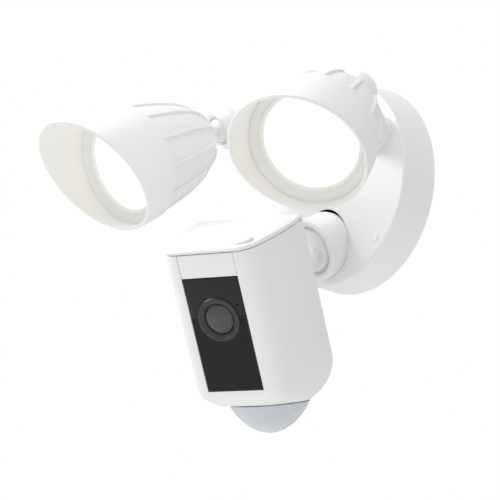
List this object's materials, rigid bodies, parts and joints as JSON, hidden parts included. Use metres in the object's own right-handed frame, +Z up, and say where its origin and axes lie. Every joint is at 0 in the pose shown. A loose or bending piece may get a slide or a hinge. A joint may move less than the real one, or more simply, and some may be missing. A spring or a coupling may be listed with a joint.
{
  "type": "floodlight security camera",
  "caption": "Wall-mounted outdoor camera unit on a ball joint below two hooded floodlight heads on curved arms, all on a round canopy.",
  "frame": {"origin": "centre of the round canopy on the wall plane", "axes": "+Y into the wall, -Y forward, +Z up, +X to the right seen from the front"},
  "size_m": [0.2543, 0.1998, 0.2414],
  "materials": {
    "white_plastic": "fine-grained matte white",
    "white_metal": "white powder coat on die-cast aluminium",
    "black_gloss": "gloss black",
    "black_matte": "matte black",
    "lens_glass": "coated optical glass",
    "diffuser": "frosted, glowing warm white",
    "dome": "translucent milky moulding",
    "steel": "zinc plated",
    "rubber": "soft black",
    "pcb": "green solder mask",
    "liner": "natural nylon",
    "brass": "turned brass"
  },
  "bodies": {
    "canopy": {"canopy_shell": "white_plastic", "canopy_back_plate": "white_plastic", "back_plate_screws": "steel", "wall_gasket": "rubber", "mounting_bracket": "steel", "canopy_side_screw": "steel", "power_board": "pcb", "transformer": "black_matte", "capacitors": "black_matte", "terminal_block": "black_matte", "arm_nuts": "steel", "camera_socket": "white_plastic", "arm_left": "white_metal", "arm_right": "white_metal"},
    "lamp_left_swivel": {"lamp_liner_left": "liner"},
    "lamp_left_ball": {"ball_stud_left": "white_metal", "stud_nut_left": "brass"},
    "lamp_left_head": {"heat_sink_left": "white_metal", "hood_left": "white_plastic", "led_board_left": "white_plastic", "led_chips_left": "diffuser", "reflector_left": "white_plastic", "lamp_lens_left": "diffuser", "lens_seal_left": "rubber", "lens_bezel_left": "white_plastic"},
    "lamp_right_swivel": {"lamp_liner_right": "liner"},
    "lamp_right_ball": {"ball_stud_right": "white_metal", "stud_nut_right": "brass"},
    "lamp_right_head": {"heat_sink_right": "white_metal", "hood_right": "white_plastic", "led_board_right": "white_plastic", "led_chips_right": "diffuser", "reflector_right": "white_plastic", "lamp_lens_right": "diffuser", "lens_seal_right": "rubber", "lens_bezel_right": "white_plastic"},
    "camera_swivel": {"camera_liner": "liner"},
    "camera_pivot": {"camera_ball": "white_metal"},
    "camera_head": {"camera_neck": "white_metal", "unit_shell": "white_plastic", "unit_top_cap": "white_plastic", "button_switch": "pcb", "blank_plate": "white_plastic", "face_window": "black_gloss", "speaker_grille": "black_matte", "lens_ring": "black_matte", "lens_glass": "lens_glass", "lens_barrel": "black_matte", "image_sensor_board": "pcb", "main_board": "pcb", "infrared_leds": "black_matte", "microphone": "black_matte", "speaker": "black_matte", "motion_dome": "dome", "motion_board": "pcb", "motion_sensor": "steel", "unit_rear_cover": "white_plastic", "rear_cover_screws": "steel", "neck_screws": "steel"},
    "button": {"setup_button": "white_plastic"}
  },
  "joints": [
    {"name": "lamp_left_pan", "type": "hinge", "parent": "canopy", "child": "lamp_left_swivel", "pos_m": [-0.063, -0.065, 0.041], "axis": [0, 0, 1], "range_deg": [-36, 17]},
    {"name": "lamp_left_tilt", "type": "hinge", "parent": "lamp_left_swivel", "child": "lamp_left_ball", "pos_m": [-0.063, -0.065, 0.041], "axis": [0.999, -0.0436, 0], "range_deg": [-19, 23]},
    {"name": "lamp_left_twist", "type": "hinge", "parent": "lamp_left_ball", "child": "lamp_left_head", "pos_m": [-0.063, -0.065, 0.041], "axis": [-0.0389, -0.8902, -0.454], "range_deg": [-15, 15]},
    {"name": "lamp_right_pan", "type": "hinge", "parent": "canopy", "child": "lamp_right_swivel", "pos_m": [0.063, -0.065, 0.041], "axis": [0, 0, 1], "range_deg": [-42, 12]},
    {"name": "lamp_right_tilt", "type": "hinge", "parent": "lamp_right_swivel", "child": "lamp_right_ball", "pos_m": [0.063, -0.065, 0.041], "axis": [0.891, 0.454, 0], "range_deg": [-26, 8]},
    {"name": "lamp_right_twist", "type": "hinge", "parent": "lamp_right_ball", "child": "lamp_right_head", "pos_m": [0.063, -0.065, 0.041], "axis": [0.3764, -0.7387, -0.5592], "range_deg": [-15, 15]},
    {"name": "camera_pan", "type": "hinge", "parent": "canopy", "child": "camera_swivel", "pos_m": [0, -0.034, -0.0425], "axis": [0, 0, 1], "range_deg": [-38, 12]},
    {"name": "camera_tilt", "type": "hinge", "parent": "camera_swivel", "child": "camera_pivot", "pos_m": [0, -0.034, -0.0425], "axis": [0.9714, 0.2376, 0], "range_deg": [-11, 12]},
    {"name": "camera_twist", "type": "hinge", "parent": "camera_pivot", "child": "camera_head", "pos_m": [0, -0.034, -0.0425], "axis": [0.1964, -0.8028, -0.563], "range_deg": [-15, 15]},
    {"name": "setup_button_press", "type": "slide", "parent": "camera_head", "child": "button", "axis": [-0.1766, 0.453, -0.8738], "range_m": [0, 0.0012], "stiffness_N_per_m": 500, "springref_m": -0.001}
  ]
}
